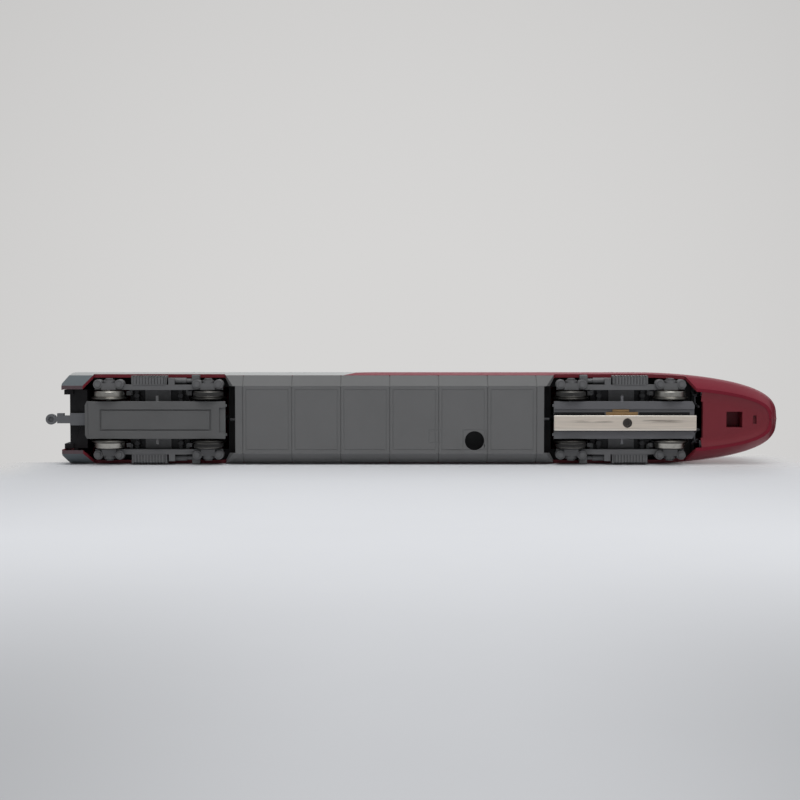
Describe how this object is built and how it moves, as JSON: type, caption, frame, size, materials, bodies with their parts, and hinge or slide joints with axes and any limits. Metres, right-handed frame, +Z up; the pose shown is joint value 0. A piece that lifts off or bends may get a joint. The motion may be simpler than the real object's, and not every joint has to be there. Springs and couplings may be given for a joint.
{
  "type": "model electric locomotive",
  "caption": "Streamlined model power car for three-rail track: geared swivelling bogies driven from a central motor, sprung pickup shoe, swinging rear coupler and folding pantograph.",
  "frame": {"origin": "on the standing plane under the wheel flanges, in the middle of the overall length and width", "axes": "+X forward to the nose, +Y to the left side, +Z up to the roof"},
  "size_m": [0.2562, 0.0322, 0.048],
  "materials": {
    "red_body": "satin",
    "grey_underframe": "matte",
    "grey_roof": "matte",
    "grey_bogie": "matte",
    "black_cast": "satin",
    "black_plastic": "matte",
    "dark_glazing": "polished",
    "clear_lens": "polished",
    "cab_plastic": "matte",
    "circuit_board": "satin",
    "plated_steel": "satin",
    "wheel_metal": "turned",
    "pickup_metal": "worn",
    "spring_bronze": "satin",
    "turned_brass": "turned",
    "tyre_rubber": "matte",
    "gear_plastic": "satin",
    "coupler_plastic": "satin",
    "pantograph_paint": "satin"
  },
  "bodies": {
    "loco_body": {"body_shell": "red_body", "underframe_tub": "grey_underframe", "chassis_frame": "black_cast", "nose_floor": "red_body", "rear_bulkhead": "black_plastic", "windscreen": "dark_glazing", "side_windows": "dark_glazing", "headlight_guides": "clear_lens", "cab_insert": "cab_plastic", "light_board": "circuit_board", "main_board": "circuit_board", "motor_can": "plated_steel", "motor_clamp": "plated_steel", "clamp_screws": "plated_steel", "roof_grille": "grey_roof", "pantograph_base": "black_cast"},
    "motor_rotor": {"motor_shaft": "plated_steel", "flywheels": "turned_brass"},
    "front_bogie": {"front_gearbox": "grey_bogie", "front_gear_cover": "grey_bogie", "front_sideframe_left": "grey_bogie", "front_sideframe_right": "grey_bogie", "front_pivot_screw": "plated_steel", "slider_spring": "spring_bronze"},
    "front_cardan_shaft": {"front_cardan": "black_plastic"},
    "front_worm_shaft": {"front_worm": "turned_brass"},
    "front_centre_wheel": {"front_centre_gear": "gear_plastic"},
    "front_outer_idler_wheel": {"front_outer_idler": "gear_plastic"},
    "front_inner_idler_wheel": {"front_inner_idler": "gear_plastic"},
    "front_outer_wheelset": {"front_outer_axle": "wheel_metal", "front_outer_wheels": "wheel_metal", "front_outer_gear": "gear_plastic"},
    "front_inner_wheelset": {"front_inner_axle": "wheel_metal", "front_inner_wheels": "wheel_metal", "front_inner_gear": "gear_plastic", "front_inner_tyres": "tyre_rubber"},
    "rear_bogie": {"rear_gearbox": "grey_bogie", "rear_gear_cover": "grey_bogie", "rear_sideframe_left": "grey_bogie", "rear_sideframe_right": "grey_bogie", "rear_pivot_screw": "plated_steel"},
    "rear_cardan_shaft": {"rear_cardan": "black_plastic"},
    "rear_worm_shaft": {"rear_worm": "turned_brass"},
    "rear_centre_wheel": {"rear_centre_gear": "gear_plastic"},
    "rear_outer_idler_wheel": {"rear_outer_idler": "gear_plastic"},
    "rear_inner_idler_wheel": {"rear_inner_idler": "gear_plastic"},
    "rear_outer_wheelset": {"rear_outer_axle": "wheel_metal", "rear_outer_wheels": "wheel_metal", "rear_outer_gear": "gear_plastic"},
    "rear_inner_wheelset": {"rear_inner_axle": "wheel_metal", "rear_inner_wheels": "wheel_metal", "rear_inner_gear": "gear_plastic", "rear_inner_tyres": "tyre_rubber"},
    "pickup_slider": {"slider_shoe": "pickup_metal", "slider_carrier": "grey_bogie"},
    "rear_coupler": {"coupler_bar": "coupler_plastic"},
    "pantograph_lower": {"pantograph_lower_arm": "pantograph_paint"},
    "pantograph_upper": {"pantograph_upper_arm": "pantograph_paint"},
    "pantograph_top": {"pantograph_head": "pantograph_paint"}
  },
  "joints": [
    {"name": "motor_spin", "type": "hinge", "parent": "loco_body", "child": "motor_rotor", "pos_m": [-0.008, 0, 0.01785], "axis": [1, 0, 0], "continuous": true},
    {"name": "front_bogie_swivel", "type": "hinge", "parent": "loco_body", "child": "front_bogie", "pos_m": [0.0725, 0, 0.02235], "axis": [0, 0, 1], "range_deg": [-10, 10]},
    {"name": "front_cardan_yaw", "type": "hinge", "parent": "loco_body", "child": "front_cardan_shaft", "pos_m": [0.0182, 0, 0.01785], "axis": [0, 0, 1], "range_deg": [-5.7, 5.7]},
    {"name": "front_worm_spin", "type": "hinge", "parent": "front_bogie", "child": "front_worm_shaft", "pos_m": [0.0725, 0, 0.01785], "axis": [1, 0, 0], "continuous": true},
    {"name": "front_centre_gear_spin", "type": "hinge", "parent": "front_bogie", "child": "front_centre_wheel", "pos_m": [0.0725, 0, 0.0105], "axis": [0, 1, 0], "continuous": true},
    {"name": "front_outer_idler_spin", "type": "hinge", "parent": "front_bogie", "child": "front_outer_idler_wheel", "pos_m": [0.0825, 0, 0.00976], "axis": [0, 1, 0], "continuous": true},
    {"name": "front_inner_idler_spin", "type": "hinge", "parent": "front_bogie", "child": "front_inner_idler_wheel", "pos_m": [0.0625, 0, 0.00976], "axis": [0, 1, 0], "continuous": true},
    {"name": "front_outer_axle_spin", "type": "hinge", "parent": "front_bogie", "child": "front_outer_wheelset", "pos_m": [0.08975, 0, 0.0063], "axis": [0, 1, 0], "continuous": true},
    {"name": "front_inner_axle_spin", "type": "hinge", "parent": "front_bogie", "child": "front_inner_wheelset", "pos_m": [0.05525, 0, 0.0063], "axis": [0, 1, 0], "continuous": true},
    {"name": "rear_bogie_swivel", "type": "hinge", "parent": "loco_body", "child": "rear_bogie", "pos_m": [-0.0885, 0, 0.02235], "axis": [0, 0, 1], "range_deg": [-10, 10]},
    {"name": "rear_cardan_yaw", "type": "hinge", "parent": "loco_body", "child": "rear_cardan_shaft", "pos_m": [-0.0342, 0, 0.01785], "axis": [0, 0, 1], "range_deg": [-5.7, 5.7]},
    {"name": "rear_worm_spin", "type": "hinge", "parent": "rear_bogie", "child": "rear_worm_shaft", "pos_m": [-0.0885, 0, 0.01785], "axis": [1, 0, 0], "continuous": true},
    {"name": "rear_centre_gear_spin", "type": "hinge", "parent": "rear_bogie", "child": "rear_centre_wheel", "pos_m": [-0.0885, 0, 0.0105], "axis": [0, 1, 0], "continuous": true},
    {"name": "rear_outer_idler_spin", "type": "hinge", "parent": "rear_bogie", "child": "rear_outer_idler_wheel", "pos_m": [-0.0985, 0, 0.00976], "axis": [0, 1, 0], "continuous": true},
    {"name": "rear_inner_idler_spin", "type": "hinge", "parent": "rear_bogie", "child": "rear_inner_idler_wheel", "pos_m": [-0.0785, 0, 0.00976], "axis": [0, 1, 0], "continuous": true},
    {"name": "rear_outer_axle_spin", "type": "hinge", "parent": "rear_bogie", "child": "rear_outer_wheelset", "pos_m": [-0.10575, 0, 0.0063], "axis": [0, 1, 0], "continuous": true},
    {"name": "rear_inner_axle_spin", "type": "hinge", "parent": "rear_bogie", "child": "rear_inner_wheelset", "pos_m": [-0.07125, 0, 0.0063], "axis": [0, 1, 0], "continuous": true},
    {"name": "slider_travel", "type": "slide", "parent": "front_bogie", "child": "pickup_slider", "axis": [0, 0, 1], "range_m": [0, 0.0008], "stiffness_N_per_m": 60, "springref_m": -0.003, "deforming": ["slider_spring"]},
    {"name": "coupler_swing", "type": "hinge", "parent": "loco_body", "child": "rear_coupler", "pos_m": [-0.1154, 0, 0.0083], "axis": [0, 0, 1], "range_deg": [-20, 20]},
    {"name": "pantograph_raise", "type": "hinge", "parent": "loco_body", "child": "pantograph_lower", "pos_m": [-0.0775, 0, 0.0462], "axis": [0, 1, 0], "range_deg": [0, 45]},
    {"name": "pantograph_elbow", "type": "hinge", "parent": "pantograph_lower", "child": "pantograph_upper", "pos_m": [-0.0955, 0, 0.0462], "axis": [0, 1, 0], "range_deg": [-91, 0]},
    {"name": "pantograph_level", "type": "hinge", "parent": "pantograph_upper", "child": "pantograph_top", "pos_m": [-0.0775, 0, 0.0462], "axis": [0, 1, 0], "range_deg": [0, 46]}
  ],
  "couplings": [
    {"joint": "front_cardan_yaw", "follows": "front_bogie_swivel", "ratio": -0.55587},
    {"joint": "front_worm_spin", "follows": "motor_spin", "ratio": 1},
    {"joint": "front_centre_gear_spin", "follows": "motor_spin", "ratio": -0.041667},
    {"joint": "front_outer_idler_spin", "follows": "motor_spin", "ratio": 0.038462},
    {"joint": "front_inner_idler_spin", "follows": "motor_spin", "ratio": 0.038462},
    {"joint": "front_outer_axle_spin", "follows": "motor_spin", "ratio": -0.071429},
    {"joint": "front_inner_axle_spin", "follows": "motor_spin", "ratio": -0.071429},
    {"joint": "rear_cardan_yaw", "follows": "rear_bogie_swivel", "ratio": -0.55587},
    {"joint": "rear_worm_spin", "follows": "motor_spin", "ratio": 1},
    {"joint": "rear_centre_gear_spin", "follows": "motor_spin", "ratio": -0.041667},
    {"joint": "rear_outer_idler_spin", "follows": "motor_spin", "ratio": 0.038462},
    {"joint": "rear_inner_idler_spin", "follows": "motor_spin", "ratio": 0.038462},
    {"joint": "rear_outer_axle_spin", "follows": "motor_spin", "ratio": -0.071429},
    {"joint": "rear_inner_axle_spin", "follows": "motor_spin", "ratio": -0.071429},
    {"joint": "pantograph_elbow", "follows": "pantograph_raise", "ratio": -2},
    {"joint": "pantograph_level", "follows": "pantograph_raise", "ratio": 1}
  ]
}
